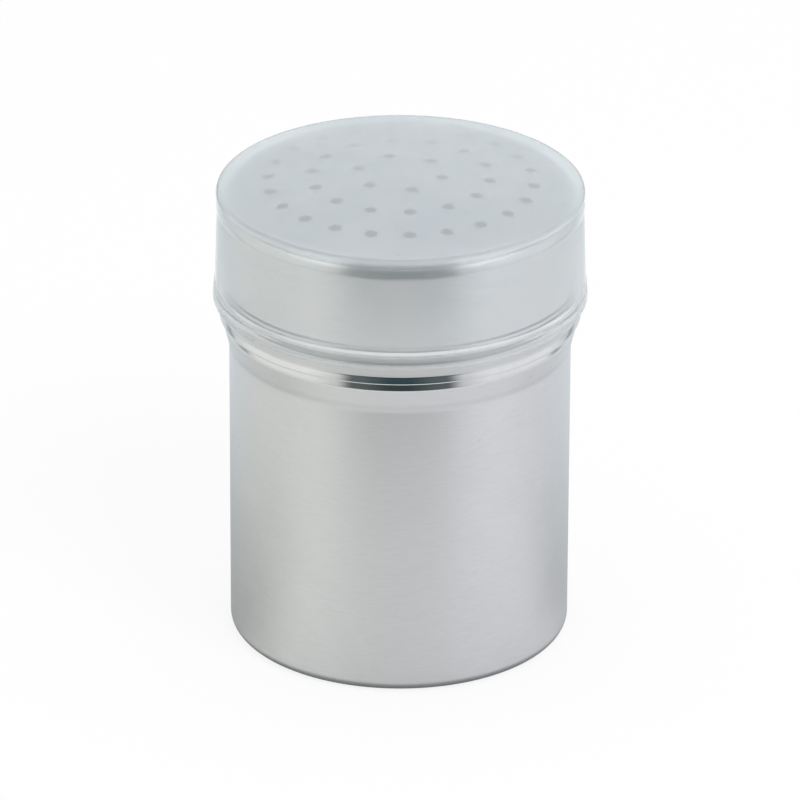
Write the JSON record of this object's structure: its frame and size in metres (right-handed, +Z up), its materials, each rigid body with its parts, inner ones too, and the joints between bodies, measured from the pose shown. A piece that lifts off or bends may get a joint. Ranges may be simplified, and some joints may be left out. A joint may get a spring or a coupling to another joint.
{
  "type": "spice shaker",
  "caption": "Round stainless steel spice shaker with a rolled neck, a domed push-on sifting lid and a frosted plastic dust cap that lifts off.",
  "frame": {"origin": "middle of the flat face that the can stands on", "axes": "+Z up along the shaker's own axis; +X and +Y are level, and the shaker looks the same from every side but for the turn of its rings of holes"},
  "size_m": [0.0755, 0.0754, 0.1],
  "materials": {
    "can_steel": "satin stainless steel, finely brushed round the side, bright polished on the shoulder above the bead",
    "lid_steel": "satin stainless steel, brushed round the skirt, with a bright polished lip and rounded edge",
    "frosted_plastic": "milky translucent polypropylene, softly glossy outside"
  },
  "bodies": {
    "can": {"shaker_can": "can_steel"},
    "lid": {"perforated_lid": "lid_steel"},
    "cap": {"dust_cap": "frosted_plastic"}
  },
  "joints": [
    {"name": "lid_lift", "type": "slide", "parent": "can", "child": "lid", "axis": [0, 0, 1], "range_m": [0, 0.03]},
    {"name": "cap_lift", "type": "slide", "parent": "lid", "child": "cap", "axis": [0, 0, 1], "range_m": [0, 0.03]}
  ]
}
